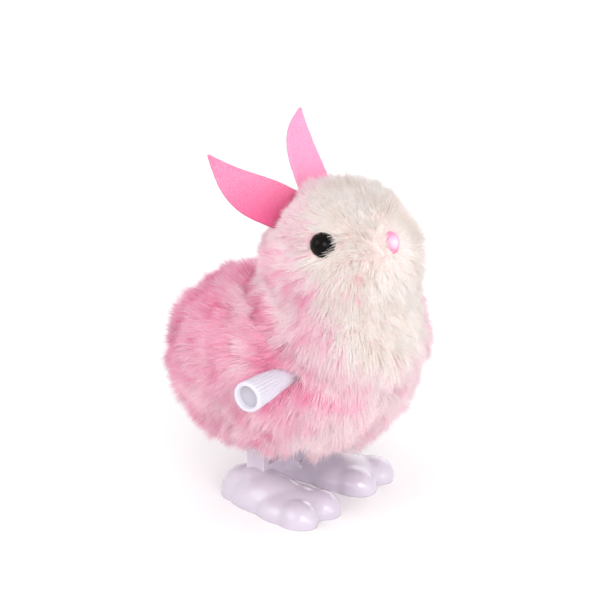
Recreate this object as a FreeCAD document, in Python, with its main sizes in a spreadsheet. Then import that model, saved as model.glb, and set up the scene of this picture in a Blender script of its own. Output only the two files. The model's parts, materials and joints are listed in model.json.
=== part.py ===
import FreeCAD, Part
import Sketcher
import math
import os
import re

from FreeCAD import Placement, Rotation, Vector

# A plush rabbit that hops when it is wound. It faces -Y, +Z is up, and the row's origin is on the
# ground at the middle of the overall box. The knob sticks out on the rabbit's right, so the
# rabbit's own middle plane lies at X = mid_x. All lengths are millimetres.

DIMENSIONS = [
    ("mid_x", 3.25, "the rabbit's middle plane, from the row's origin"),
    ("mid_y", 1.7, "the axis that the mechanism is measured from, from the row's origin"),
    ("fur_half_width", 26.5, "body, out to the tips of the fur"),
    ("fur_half_length", 30.4, "body, out to the tips of the fur"),
    ("fur_half_height", 19.6, "body, out to the tips of the fur"),
    ("body_y", -1.7, "middle of the body"),
    ("body_z", 30.0, "middle of the body"),
    ("skin_half_width", 20.0, "backing cloth of the body"),
    ("skin_half_length", 24.0, "backing cloth of the body"),
    ("skin_half_height", 14.5, "backing cloth of the body"),
    ("skin_z", 31.0, "middle of the backing cloth"),
    ("head_y", -12.7, "middle of the head"),
    ("head_z", 57.1, "middle of the head"),
    ("head_fur_radius", 17.4, "head, out to the tips of the fur"),
    ("head_skin_radius", 13.5, "backing cloth of the head"),
    ("soft_gap", 0.3, "room between soft pieces and their neighbours"),
    ("eye_radius", 2.75, "bead"),
    ("eye_x", 12.4, "middle of the bead"),
    ("eye_y", -16.9, "middle of the bead"),
    ("eye_z", 64.5, "middle of the bead"),
    ("left_eye_back", 1.4, "how much further back the left bead was sewn"),
    ("nose_half_width", 2.0, "oval bead"),
    ("nose_half_depth", 1.6, "oval bead"),
    ("nose_half_height", 2.65, "oval bead"),
    ("nose_y", -25.9, "middle of the bead"),
    ("nose_z", 62.9, "middle of the bead"),
    ("ear_thick", 1.0, "felt"),
    ("ear_length", 22.3, "from the seam to the tip"),
    ("ear_width", 10.4, "at the widest"),
    ("ear_root", 8.6, "width at the seam"),
    ("ear_x", 5.2, "middle of the seam"),
    ("ear_y", -2.4, "middle of the seam"),
    ("ear_z", 65.8, "middle of the seam"),
    ("case_half", 8.2, "half the motor case's width"),
    ("case_wall", 0.9, "motor case"),
    ("case_bottom", 18.0, "underside of the motor case"),
    ("case_top", 43.7, "top over the clutch gear"),
    ("case_front", -10.0, "front of the lower case"),
    ("case_step", 7.2, "where the case steps down to the leg pivot"),
    ("case_back", 15.6, "back of the motor case"),
    ("step_top", 30.2, "top of the case over the leg pivot"),
    ("drum_radius", 9.65, "round front of the case, over the mainspring"),
    ("divider_x", -2.1, "right face of the divider plate"),
    ("divider_thick", 0.7, "plate between the spring and the gears"),
    ("boss_radius", 1.6, "screw boss"),
    ("screw_radius", 0.7, "case screw"),
    ("screw_head_radius", 1.3, "case screw"),
    ("screw_head_thick", 0.35, "case screw"),
    ("screw_seat", 2.0, "blind end of a screw hole, from the case's right face"),
    ("running_gap", 0.05, "radial room of a shaft in its bore"),
    ("arbor_y", -11.7, "winding axis"),
    ("arbor_z", 35.8, "winding axis"),
    ("arbor_radius", 1.5, "winding shaft"),
    ("clutch_y", -1.7, "clutch gear axis"),
    ("cam_y", -1.7, "cam shaft axis"),
    ("cam_z", 27.8, "cam shaft axis"),
    ("shaft_radius", 0.75, "clutch axle and cam shaft"),
    ("shaft_half", 10.8, "half the cam shaft's length"),
    ("clutch_slide", 0.85, "how far the clutch axle slides"),
    ("slot_slack", 0.07, "extra slot width, for the arc that the axle follows"),
    ("slot_drop", 0.02, "slot's middle below the axle at rest, for the same arc"),
    ("wheel_thick", 2.0, "great wheel"),
    ("wheel_x", -0.9, "right face of the great wheel"),
    ("pinion_thick", 2.6, "clutch pinion"),
    ("pinion_x", -1.1, "right face of the clutch pinion"),
    ("second_thick", 1.8, "clutch gear's larger wheel"),
    ("second_x", 1.5, "right face of the clutch gear's larger wheel"),
    ("cam_pinion_thick", 2.2, "cam pinion"),
    ("cam_pinion_x", 1.3, "right face of the cam pinion"),
    ("cam_radius", 2.55, "eccentric disc"),
    ("cam_throw", 1.05, "offset of the eccentric disc"),
    ("leg_inner", 8.6, "inner face of a leg, from the middle plane"),
    ("leg_thick", 1.8, "leg plate"),
    ("leg_y", 2.0, "middle of the shank"),
    ("leg_width", 4.5, "shank, front to back"),
    ("pivot_y", 12.0, "leg pivot"),
    ("pivot_z", 22.0, "leg pivot"),
    ("pivot_radius", 0.8, "leg pivot pin"),
    ("eye_ring", 2.6, "ring of the leg round its pivot"),
    ("pad_z", 21.9, "middle of the pad under the cam"),
    ("pad_radius", 2.0, "pad under the cam"),
    ("shank_bottom", 3.6, "lower end of the shank, down in the foot"),
    ("bar_thick", 1.6, "crossbar between the legs"),
    ("bar_bottom", 4.8, "crossbar"),
    ("bar_height", 3.4, "crossbar"),
    ("bar_behind", 2.2, "front of the crossbar, from the legs' middle"),
    ("pin_proud", 0.4, "each end of the pivot pin, beyond its leg"),
    ("plenty", 60.0, "cutting tools that reach past the piece they cut"),
    ("swing_side", 1.2, "room in the body beside the swinging legs"),
    ("swing_front", 6.0, "room in the body in front of the cam shaft"),
    ("swing_back", 4.5, "room in the body behind the pivot pin"),
    ("swing_bottom", 2.0, "bottom of the legs' room"),
    ("swing_top", 5.0, "top of the legs' room, above the cam shaft"),
    ("knob_room_gap", 0.6, "room in the fur round the knob"),
    ("knob_room_reach", 37.0, "outer end of the knob's room"),
    ("knob_room_length", 30.0, "the knob's room"),
    ("opening_half_width", 12.0, "opening under the body"),
    ("opening_front", 13.0, "opening under the body, in front of the middle"),
    ("opening_length", 31.0, "opening under the body"),
    ("opening_top", 19.0, "opening under the body"),
    ("foot_x", 9.4, "middle of the ankle"),
    ("right_toe_out", 6.5, "degrees that the right foot points outwards"),
    ("left_toe_out", 3.0, "degrees that the left foot points outwards"),
    ("foot_lift", 0.9, "middle of the foot's ovals, from the ground"),
    ("heel_half_width", 5.1, "foot"),
    ("heel_half_length", 5.6, "foot"),
    ("heel_y", 3.6, "middle of the heel, from the ankle"),
    ("instep_half_width", 6.6, "foot"),
    ("instep_half_length", 10.5, "foot"),
    ("instep_y", -3.0, "middle of the instep, from the ankle"),
    ("instep_top", 7.1, "foot"),
    ("web_half_width", 7.8, "foot, behind the toes"),
    ("web_half_length", 8.5, "foot, behind the toes"),
    ("web_y", -9.6, "middle of the web, from the ankle"),
    ("toe_half_width", 4.1, "toe"),
    ("toe_half_length", 5.0, "toe"),
    ("toe_top", 5.0, "toe"),
    ("toe_spread", 3.7, "each toe, from the middle of the foot"),
    ("toe_reach", 14.6, "toes, from the ankle"),
    ("boss_bottom", 2.0, "ankle boss"),
    ("boss_top", 8.0, "top of the ankle boss"),
    ("boss_foot_radius", 4.9, "ankle boss, at the bottom"),
    ("boss_top_radius", 3.8, "ankle boss, at the top"),
    ("knob_reach", 33.0, "outer end of the knob, from the middle plane"),
    ("knob_length", 19.0, "winding knob"),
    ("knob_end_radius", 3.4, "winding knob"),
    ("knob_neck_radius", 2.1, "winding knob, at its inner end"),
    ("knob_recess_radius", 2.5, "recess in the knob's end"),
    ("knob_recess_depth", 1.3, "recess in the knob's end"),
    ("grip_length", 9.5, "ribbed part of the knob"),
    ("flute_radius", 0.26, "groove between two ribs of the knob"),
    ("module", 0.5, "all gears"),
    ("tooth_height", 0.4, "tooth above the pitch circle"),
    ("tooth_root", 0.55, "tooth below the pitch circle"),
    ("backlash", 0.28, "play between two meshed teeth"),
    ("tooth_lean", 0.09, "clutch gear's large teeth, to one side of their gaps at rest"),
    ("pressure_angle", 25.0, "degrees"),
    ("great_teeth", 32.0, "great wheel"),
    ("pinion_teeth", 8.0, "clutch pinion and cam pinion"),
    ("second_teeth", 24.0, "clutch gear's larger wheel"),
    ("spring_inner", 1.55, "innermost turn of the mainspring"),
    ("spring_strip", 0.25, "thickness of the mainspring's strip"),
    ("spring_pitch", 0.75, "from one turn of the mainspring to the next"),
    ("spring_turns", 8.0, "mainspring"),
    ("spring_width", 4.6, "mainspring"),
    ("coil_radius", 1.4, "leg return spring"),
    ("coil_wire", 0.22, "radius of the return spring's wire"),
    ("coil_pitch", 0.62, "leg return spring"),
    ("coil_length", 7.4, "leg return spring"),
]
SIDES = (("right", -1), ("left", 1))
# The way that each ear points from its seam, and the way that its front face looks. They were
# sewn on by hand, so the two differ a little.
EAR_ALONG = {"right": (-0.530, 0.553, 0.643), "left": (0.530, 0.553, 0.643)}
EAR_FACING = {"right": (-0.340, -0.831, 0.440), "left": (0.017, -0.761, 0.648)}
SCREWS = ((-8.2, 20.3), (13.6, 28.2), (5.2, 42.0))
FLUTES = 24

DOC = FreeCAD.newDocument("hopping_rabbit")
SHEET = DOC.addObject("Spreadsheet::Sheet", "dims")
subparts = []


def fill_sheet():
    for row, (alias, value, note) in enumerate(DIMENSIONS, start=1):
        SHEET.set(f"A{row}", alias)
        SHEET.set(f"B{row}", str(value))
        SHEET.set(f"C{row}", note)
        SHEET.setAlias(f"B{row}", alias)
    DOC.recompute()


def dim(alias):
    return float(SHEET.get(alias))


def bind(thing, prop, rule):
    """Ties a property to a rule written with the sheet's aliases."""
    thing.setExpression(prop, re.sub(r"[a-z][a-z_]+", r"dims.\g<0>", rule))


def place(thing, x, y, z):
    """Ties a place, measured from the rabbit's own middle plane, to the sheet."""
    bind(thing, "Placement.Base.x", f"mid_x + {x}")
    bind(thing, "Placement.Base.y", f"mid_y + {y}")
    bind(thing, "Placement.Base.z", z)


def rod(name, radius, length, x, y, z):
    """A cylinder along X, from x towards +X."""
    made = DOC.addObject("Part::Cylinder", name)
    made.Placement = Placement(Vector(), Rotation(Vector(0, 1, 0), 90))
    bind(made, "Radius", radius)
    bind(made, "Height", length)
    place(made, x, y, z)
    return made


def block(name, x, y, z, length, width, height):
    """A box whose lowest corner is at x, y, z."""
    made = DOC.addObject("Part::Box", name)
    bind(made, "Length", length)
    bind(made, "Width", width)
    bind(made, "Height", height)
    place(made, x, y, z)
    return made


def ball(name, half_x, half_y, half_z, x, y, z):
    """An ellipsoid about x, y, z."""
    made = DOC.addObject("Part::Ellipsoid", name)
    bind(made, "Radius1", half_z)
    bind(made, "Radius2", half_x)
    bind(made, "Radius3", half_y)
    place(made, x, y, z)
    return made


def join(name, pieces):
    made = DOC.addObject("Part::MultiFuse", name)
    made.Shapes = pieces
    made.Refine = True
    return made


def cut(name, base, tools):
    """Base with one or more tools taken away."""
    made = DOC.addObject("Part::Cut", name)
    made.Base = base
    made.Tool = tools[0] if len(tools) == 1 else join(f"{name}_tools", tools)
    return made


def meet(name, pieces):
    made = DOC.addObject("Part::MultiCommon", name)
    made.Shapes = pieces
    return made


def shaped(name, shape, x, y, z, turn=Rotation()):
    """A Part::Feature that is placed from the rabbit's own middle plane."""
    made = DOC.addObject("Part::Feature", name)
    made.Shape = shape
    made.Placement = Placement(Vector(dim("mid_x") + x, dim("mid_y") + y, z), turn)
    return made


def subpart(thing, label):
    thing.Label = label
    subparts.append(thing)
    return thing


# ---------------------------------------------------------------- PartDesign helpers


def plane_of(body, role):
    return next(item for item in body.Origin.OriginFeatures if item.Role == role)


def sketch_on(body, name, role, offset=0.0):
    sketch = body.newObject("Sketcher::SketchObject", name)
    sketch.AttachmentSupport = [(plane_of(body, role), "")]
    sketch.MapMode = "FlatFace"
    sketch.AttachmentOffset = Placement(Vector(0, 0, offset), Rotation())
    return sketch


def close_outline(sketch, points):
    """Straight lines through the points and back to the first."""
    for start, end in zip(points, points[1:] + points[:1]):
        sketch.addGeometry(Part.LineSegment(Vector(*start, 0), Vector(*end, 0)), False)


def add_pad(body, sketch, name, rule):
    pad = body.newObject("PartDesign::Pad", name)
    pad.Profile = sketch
    bind(pad, "Length", rule)
    return pad


def involute(angle):
    return math.tan(angle) - angle


def tooth_outline(teeth, phase):
    """One tooth about the direction phase, in degrees, rooted inside the root circle."""
    pitch = dim("module") * teeth / 2
    pressure = math.radians(dim("pressure_angle"))
    base = pitch * math.cos(pressure)
    tip = pitch + dim("tooth_height")
    root = pitch - dim("tooth_root")
    thick = math.pi * dim("module") / 2 - dim("backlash") / 2
    half = thick / (2 * pitch) + involute(pressure)
    start = max(base, root)
    flank = [(root - 0.1, half - involute(math.acos(base / start)))]
    for step in range(5):
        radius = start + (tip - start) * step / 4
        flank.append((radius, half - involute(math.acos(min(1.0, base / radius)))))
    turn = math.radians(phase)
    right = [(r * math.cos(turn - a), r * math.sin(turn - a)) for r, a in flank]
    left = [(r * math.cos(turn + a), r * math.sin(turn + a)) for r, a in reversed(flank)]
    return right + left


def add_gear(body, name, count, phase, start, thick):
    """A toothed wheel about the body's X axis, from start towards +X."""
    teeth = int(dim(count))
    disc = sketch_on(body, f"{name}_disc", "YZ_Plane", dim(start))
    root = dim("module") * teeth / 2 - dim("tooth_root")
    disc.addGeometry(Part.Circle(Vector(), Vector(0, 0, 1), root), False)
    add_pad(body, disc, f"{name}_web", thick)
    outline = sketch_on(body, f"{name}_tooth", "YZ_Plane", dim(start))
    close_outline(outline, tooth_outline(teeth, phase))
    tooth = add_pad(body, outline, f"{name}_one_tooth", thick)
    DOC.recompute()
    ring = body.newObject("PartDesign::PolarPattern", f"{name}_teeth")
    ring.Originals = [tooth]
    ring.Axis = (plane_of(body, "X_Axis"), [""])
    ring.Angle = 360
    ring.Occurrences = teeth
    body.Tip = ring
    DOC.recompute()


def bore_through(body, name, radius):
    """A bore right through the body along its X axis."""
    before = body.Shape.Volume
    circle = sketch_on(body, f"{name}_circle", "YZ_Plane")
    circle.addGeometry(Part.Circle(Vector(), Vector(0, 0, 1), 1.0), False)
    circle.addConstraint(Sketcher.Constraint("Radius", 0, 1.0))
    bind(circle, "Constraints[0]", radius)
    pocket = body.newObject("PartDesign::Pocket", name)
    pocket.Profile = circle
    pocket.Type = "ThroughAll"
    pocket.Midplane = True
    DOC.recompute()
    assert body.Shape.Volume < before, f"{name} cuts nothing"


# ---------------------------------------------------------------- winding knob and its shaft


def make_knob():
    """A tapered knob along X with fine ribs round its outer half and a shallow end recess."""
    body = DOC.addObject("PartDesign::Body", "winding_knob")
    length = dim("knob_length")
    end = dim("knob_end_radius")
    neck = dim("knob_neck_radius")
    grip_inner = end - (end - neck) * dim("grip_length") / length
    profile = sketch_on(body, "knob_profile", "XY_Plane")
    outline = [
        (0.0, 0.0),
        (length, 0.0),
        (length, neck),
        (dim("grip_length") + 0.5, grip_inner - 0.12),
        (dim("grip_length"), grip_inner + 0.1),
        (0.45, end),
        (0.1, end - 0.12),
        (0.0, end - 0.4),
    ]
    close_outline(profile, outline)
    turned = body.newObject("PartDesign::Revolution", "knob_turned")
    turned.Profile = profile
    turned.ReferenceAxis = (profile, ["H_Axis"])
    turned.Angle = 360
    DOC.recompute()

    flute = body.newObject("PartDesign::SubtractiveCylinder", "knob_flute")
    bind(flute, "Radius", "flute_radius")
    bind(flute, "Height", "grip_length")
    taper = math.degrees(math.atan2(end - grip_inner - 0.1, dim("grip_length")))
    start = Vector(-0.2, 0, end + 0.1)
    flute.Placement = Placement(start, Rotation(Vector(0, 1, 0), 90 + taper))
    DOC.recompute()
    ring = body.newObject("PartDesign::PolarPattern", "knob_flutes")
    ring.Originals = [flute]
    ring.Axis = (plane_of(body, "X_Axis"), [""])
    ring.Angle = 360
    ring.Occurrences = FLUTES
    body.Tip = ring
    DOC.recompute()

    recess = body.newObject("PartDesign::SubtractiveCylinder", "knob_recess")
    bind(recess, "Radius", "knob_recess_radius")
    bind(recess, "Height", "knob_recess_depth")
    recess.Placement = Placement(Vector(), Rotation(Vector(0, 1, 0), 90))
    socket = body.newObject("PartDesign::SubtractiveCylinder", "knob_socket")
    bind(socket, "Radius", "arbor_radius")
    bind(socket, "Height", "knob_length / 2")
    middle = Placement(Vector(length / 2, 0, 0), Rotation(Vector(0, 1, 0), 90))
    socket.Placement = middle
    place(body, "(0 - knob_reach)", "arbor_y", "arbor_z")
    return subpart(body, "winding_knob")


def make_winder():
    reach = "knob_reach - knob_length / 2"
    arbor = rod("arbor", "arbor_radius", f"{reach} + case_half", f"(0 - ({reach}))",
                "arbor_y", "arbor_z")
    subpart(arbor, "winding_arbor")
    wheel = DOC.addObject("PartDesign::Body", "great_wheel")
    add_gear(wheel, "great", "great_teeth", 0.0, "wheel_x", "wheel_thick")
    bore_through(wheel, "great_bore", "arbor_radius")
    place(wheel, "0", "arbor_y", "arbor_z")
    subpart(wheel, "great_wheel")


def make_clutch():
    axle = rod("axle", "shaft_radius", "case_half * 2", "(0 - case_half)", "clutch_y", "arbor_z")
    subpart(axle, "clutch_axle")
    gear = DOC.addObject("PartDesign::Body", "clutch_gear")
    half_step = 180.0 / dim("pinion_teeth")
    add_gear(gear, "small", "pinion_teeth", 180.0 + half_step, "pinion_x", "pinion_thick")
    # The larger wheel's teeth stand to one side of their gaps at rest, so that the play is
    # on the side that they move to when the clutch axle slides.
    pitch = dim("module") * dim("second_teeth") / 2
    lean = math.degrees(dim("tooth_lean") / pitch)
    add_gear(gear, "large", "second_teeth", -90.0 - lean, "second_x", "second_thick")
    bore_through(gear, "gear_bore", "shaft_radius + running_gap")
    place(gear, "0", "clutch_y", "arbor_z")
    subpart(gear, "clutch_gear")


def make_cam_shaft():
    shaft = rod("shaft", "shaft_radius", "shaft_half * 2", "(0 - shaft_half)", "cam_y", "cam_z")
    subpart(shaft, "cam_shaft")
    pinion = DOC.addObject("PartDesign::Body", "cam_pinion")
    half_step = 180.0 / dim("pinion_teeth")
    add_gear(pinion, "output", "pinion_teeth", 90.0 + half_step, "cam_pinion_x",
             "cam_pinion_thick")
    bore_through(pinion, "output_bore", "shaft_radius")
    place(pinion, "0", "cam_y", "cam_z")
    subpart(pinion, "cam_pinion")
    for side, sign in SIDES:
        start = "leg_inner" if sign > 0 else "(0 - leg_inner - leg_thick)"
        disc = rod(f"{side}_disc", "cam_radius", "leg_thick", start, "cam_y",
                   "cam_z + cam_throw")
        bore = rod(f"{side}_cam_bore", "shaft_radius", "leg_thick", start, "cam_y", "cam_z")
        subpart(cut(f"{side}_cam", disc, [bore]), f"{side}_kick_cam")


# ---------------------------------------------------------------- motor case


def case_solid(name, grow, half):
    """The motor case's outline, grown by a rule, from -half to +half in X."""
    x = f"(0 - ({half}))"
    width = f"({half}) * 2"
    tall = block(f"{name}_tall", x, f"case_front - ({grow})", f"case_bottom - ({grow})", width,
                 f"case_step - case_front + 2 * ({grow})",
                 f"case_top - case_bottom + 2 * ({grow})")
    step = block(f"{name}_step", x, "0", f"case_bottom - ({grow})", width,
                 f"case_back + ({grow})", f"step_top - case_bottom + 2 * ({grow})")
    drum = rod(f"{name}_drum", f"drum_radius + {grow}", width, x, "arbor_y", "arbor_z")
    return join(name, [tall, step, drum])


def case_bores(name, gap):
    """What passes through the case and the divider: arbor, cam shaft, pin and clutch slot."""
    long = "2 * shaft_half + 2"
    x = "(0 - shaft_half - 1)"
    slot = "shaft_radius + slot_slack"
    return [
        rod(f"{name}_arbor", f"arbor_radius + {gap}", long, x, "arbor_y", "arbor_z"),
        rod(f"{name}_shaft", f"shaft_radius + {gap}", long, x, "cam_y", "cam_z"),
        rod(f"{name}_pin", f"pivot_radius + {gap}", long, x, "pivot_y", "pivot_z"),
        rod(f"{name}_slot_front", slot, long, x, "clutch_y", "arbor_z - slot_drop"),
        rod(f"{name}_slot_back", slot, long, x, "clutch_y + clutch_slide",
            "arbor_z - slot_drop"),
        block(f"{name}_slot", x, "clutch_y", f"arbor_z - slot_drop - ({slot})", long,
              "clutch_slide", f"2 * ({slot})"),
    ]


def screw_rods(name, radius, length, x):
    return [
        rod(f"{name}_{number}", radius, length, x, f"({y})", str(z))
        for number, (y, z) in enumerate(SCREWS, start=1)
    ]


def make_case():
    outer = case_solid("case_outer", "0", "case_half")
    inner = case_solid("case_inner", "0 - case_wall", "case_half - case_wall")
    bosses = screw_rods("boss", "boss_radius", "2 * case_half", "(0 - case_half)")
    walls = join("case_walls", [cut("case_hollow", outer, [inner])] + bosses)
    shanks = screw_rods("shank_hole", "screw_radius", "2 * case_half",
                        "(0 - case_half + screw_seat)")
    drilled = cut("case_drilled", walls, case_bores("case_bore", "running_gap") + shanks)
    for side, sign in SIDES:
        x = "(0 - case_half - 1)" if sign < 0 else "0"
        half = block(f"{side}_space", x, "(0 - plenty / 2)", "0", "case_half + 1", "plenty",
                     "plenty")
        subpart(meet(f"{side}_case", [drilled, half]), f"motor_case_{side}")
    divider = case_solid("divider_outline", "0 - case_wall - 0.1", "case_half - case_wall")
    slab = block("divider_slab", "divider_x", "(0 - plenty / 2)", "0", "divider_thick", "plenty",
                 "plenty")
    blank = meet("divider_blank", [divider, slab])
    room = screw_rods("divider_boss", "boss_radius + 0.1", "2 * case_half", "(0 - case_half)")
    bored = cut("divider_bored", blank, case_bores("divider_bore", "0.15") + room)
    subpart(bored, "divider_plate")


def make_screws():
    """Three equal screws, put in from the left side."""
    pieces = []
    for number, (y, z) in enumerate(SCREWS, start=1):
        shank = rod(f"shank_{number}", "screw_radius", "case_half * 2 - screw_seat",
                    "(0 - case_half + screw_seat)", f"({y})", str(z))
        head = rod(f"head_{number}", "screw_head_radius", "screw_head_thick", "case_half",
                   f"({y})", str(z))
        pieces.append(join(f"screw_{number}", [shank, head]))
    group = DOC.addObject("Part::Compound", "screws")
    group.Links = pieces
    subpart(group, "case_screws")


def spiral(start, pitch, turns):
    """A spiral of half circles across X, each a little larger than the last."""
    edges = []
    near = start
    sign = 1
    for _ in range(2 * turns):
        far = near + pitch / 2
        begin = Vector(0, sign * near, 0)
        top = Vector(0, sign * (near - far) / 2, sign * (near + far) / 2)
        end = Vector(0, -sign * far, 0)
        edges.append(Part.Arc(begin, top, end).toShape())
        near = far
        sign = -sign
    return edges


def make_mainspring():
    pitch = dim("spring_pitch")
    turns = int(dim("spring_turns"))
    inner = spiral(dim("spring_inner"), pitch, turns)
    outer = spiral(dim("spring_inner") + dim("spring_strip"), pitch, turns)
    ends = [
        Part.LineSegment(inner[0].Vertexes[0].Point, outer[0].Vertexes[0].Point).toShape(),
        Part.LineSegment(inner[-1].Vertexes[-1].Point, outer[-1].Vertexes[-1].Point).toShape(),
    ]
    outline = Part.Wire(Part.__sortEdges__(inner + ends + outer))
    strip = Part.Face(outline).extrude(Vector(dim("spring_width"), 0, 0))
    made = shaped("mainspring", strip, dim("divider_x") - dim("spring_width") - 0.3,
                  dim("arbor_y"), dim("arbor_z"))
    subpart(made, "mainspring")


# ---------------------------------------------------------------- legs and feet


def strut(name, start, end, width, x):
    """A flat bar in a plane across X, as wide as width, from start to end in Y and Z."""
    dy = end[0] - start[0]
    dz = end[1] - start[1]
    made = DOC.addObject("Part::Box", name)
    bind(made, "Length", "leg_thick")
    made.Width = math.hypot(dy, dz)
    made.Height = width
    turn = Rotation(Vector(1, 0, 0), math.degrees(math.atan2(dz, dy)))
    lower = turn.multVec(Vector(0, 0, -width / 2))
    made.Placement = Placement(Vector(), turn)
    place(made, x, f"({start[0] + lower.y})", f"{start[1] + lower.z}")
    return made


def make_leg(side, sign):
    """A plate with a ring round the pivot, a pad under the cam, and a shank into the foot."""
    x = "leg_inner" if sign > 0 else "(0 - leg_inner - leg_thick)"
    ring = rod(f"{side}_ring", "eye_ring", "leg_thick", x, "pivot_y", "pivot_z")
    pad = rod(f"{side}_pad", "pad_radius", "leg_thick", x, "cam_y", "pad_z")
    pivot = (dim("pivot_y"), dim("pivot_z"))
    under_cam = (dim("cam_y"), dim("pad_z"))
    arm = strut(f"{side}_arm", pivot, under_cam, 2 * dim("pad_radius"), x)
    shank = block(f"{side}_shank", x, "leg_y - leg_width / 2", "shank_bottom", "leg_thick",
                  "leg_width", "pad_z - shank_bottom")
    hole = rod(f"{side}_pin_hole", "pivot_radius", "leg_thick", x, "pivot_y", "pivot_z")
    plate = join(f"{side}_plate", [ring, pad, arm, shank])
    return subpart(cut(f"{side}_leg_cut", plate, [hole]), f"{side}_leg")


def add_oval(body, name, half_x, half_y, half_z, x, y, z):
    made = body.newObject("PartDesign::AdditiveEllipsoid", name)
    bind(made, "Radius1", half_z)
    bind(made, "Radius2", half_x)
    bind(made, "Radius3", half_y)
    made.Placement = Placement(Vector(x, y, z), Rotation())


def make_foot(side, sign, leg, bar):
    """A flat-soled foot with a domed instep, two round toes and a socket for the leg."""
    body = DOC.addObject("PartDesign::Body", f"{side}_foot_body")
    low = dim("foot_lift")
    add_oval(body, f"{side}_instep", "instep_half_width", "instep_half_length",
             "instep_top - foot_lift", 0, dim("instep_y"), low)
    add_oval(body, f"{side}_heel", "heel_half_width", "heel_half_length",
             "instep_top - foot_lift", 0, dim("heel_y"), low)
    add_oval(body, f"{side}_web", "web_half_width", "web_half_length", "toe_top - foot_lift",
             0, dim("web_y"), low)
    for number, across in enumerate((-1, 1), start=1):
        add_oval(body, f"{side}_toe_{number}", "toe_half_width", "toe_half_length",
                 "toe_top - foot_lift", across * dim("toe_spread"), -dim("toe_reach"), low)
    boss = body.newObject("PartDesign::AdditiveCone", f"{side}_boss")
    bind(boss, "Radius1", "boss_foot_radius")
    bind(boss, "Radius2", "boss_top_radius")
    bind(boss, "Height", "boss_top - boss_bottom")
    boss.Placement = Placement(Vector(0, 0, dim("boss_bottom")), Rotation())
    below = body.newObject("PartDesign::SubtractiveBox", f"{side}_sole")
    size = dim("plenty")
    for edge in ("Length", "Width", "Height"):
        bind(below, edge, "plenty")
    below.Placement = Placement(Vector(-size / 2, -size / 2, -size), Rotation())
    body.Placement = Placement(Vector(), Rotation(Vector(0, 0, 1), sign * dim(f"{side}_toe_out")))
    place(body, f"{sign} * foot_x", "leg_y", "0")
    return subpart(cut(f"{side}_foot_cut", body, [leg, bar]), f"{side}_foot")


def make_legs():
    bar = block("bar", "(0 - leg_inner)", "leg_y - bar_behind", "bar_bottom", "2 * leg_inner",
                "bar_thick", "bar_height")
    subpart(bar, "leg_crossbar")
    for side, sign in SIDES:
        leg = make_leg(side, sign)
        make_foot(side, sign, leg, bar)
    reach = "leg_inner + leg_thick + pin_proud"
    pin = rod("pin", "pivot_radius", f"2 * ({reach})", f"(0 - ({reach}))", "pivot_y", "pivot_z")
    subpart(pin, "leg_pivot_pin")


def make_return_spring():
    """A torsion spring round the leg pivot pin, inside the case."""
    length = dim("coil_length")
    helix = Part.makeHelix(dim("coil_pitch"), length, dim("coil_radius"))
    start = helix.Vertexes[0].Point
    circle = Part.Circle(start, Vector(0, 1, 0), dim("coil_wire"))
    profile = Part.Wire([circle.toShape()])
    coil = Part.Wire(helix.Edges).makePipeShell([profile], True, True)
    along_x = Rotation(Vector(0, 1, 0), 90)
    start_x = dim("divider_x") + dim("divider_thick") + dim("coil_wire") + 0.1
    made = shaped("return_spring", coil, start_x, dim("pivot_y"), dim("pivot_z"), along_x)
    subpart(made, "leg_return_spring")


# ---------------------------------------------------------------- soft pieces, ears and beads


def make_ear(side, sign):
    """A flat felt leaf that leans back and outwards, with its broad face forwards."""
    body = DOC.addObject("PartDesign::Body", f"{side}_ear")
    outline = sketch_on(body, f"{side}_leaf", "XY_Plane")
    half_root = dim("ear_root") / 2
    half = dim("ear_width") / 2
    length = dim("ear_length")
    for edge in (-1, 1):
        middle = Vector(edge * half, 0.4 * length, 0)
        side_arc = Part.Arc(Vector(edge * half_root, 0, 0), middle, Vector(0, length, 0))
        outline.addGeometry(side_arc, False)
    seam = Part.LineSegment(Vector(-half_root, 0, 0), Vector(half_root, 0, 0))
    outline.addGeometry(seam, False)
    pad = add_pad(body, outline, f"{side}_felt", "ear_thick")
    pad.Midplane = True
    along = Vector(*EAR_ALONG[side])
    facing = Vector(*EAR_FACING[side])
    across = along.cross(facing)
    body.Placement = Placement(Vector(), Rotation(across, along, facing, "ZYX"))
    place(body, f"{sign} * ear_x", "ear_y", "ear_z")
    return subpart(body, f"{side}_ear_felt")


def nose_parting():
    """The opening in the fur in front of the nose."""
    made = DOC.addObject("Part::Cylinder", "nose_parting")
    bind(made, "Radius", "nose_half_height + soft_gap")
    bind(made, "Height", "head_fur_radius")
    outward = Vector(0, dim("nose_y") - dim("head_y"), dim("nose_z") - dim("head_z"))
    made.Placement = Placement(Vector(), Rotation(Vector(0, 0, 1), outward))
    place(made, "0", "nose_y", "nose_z")
    return made


def make_head(ears, body_space):
    eyes = []
    for side, sign in SIDES:
        back = "eye_y + left_eye_back" if side == "left" else "eye_y"
        bead = ball(f"{side}_eye_bead", "eye_radius", "eye_radius", "eye_radius",
                    f"{sign} * eye_x", back, "eye_z")
        eyes.append(subpart(bead, f"{side}_eye"))
    nose = ball("nose_bead", "nose_half_width", "nose_half_depth", "nose_half_height", "0",
                "nose_y", "nose_z")
    subpart(nose, "nose_bead")
    hard = ears + eyes + [nose]
    fur = ball("head_fur", "head_fur_radius", "head_fur_radius", "head_fur_radius", "0",
               "head_y", "head_z")
    skin = ball("head_skin", "head_skin_radius", "head_skin_radius", "head_skin_radius", "0",
                "head_y", "head_z")
    subpart(cut("head_pelt_cut", fur, [skin, body_space, nose_parting()] + hard), "head_pelt")
    fill = "head_skin_radius - soft_gap"
    core = ball("head_core", fill, fill, fill, "0", "head_y", "head_z")
    subpart(cut("head_fill_cut", core, [body_space] + hard), "head_stuffing")


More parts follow.
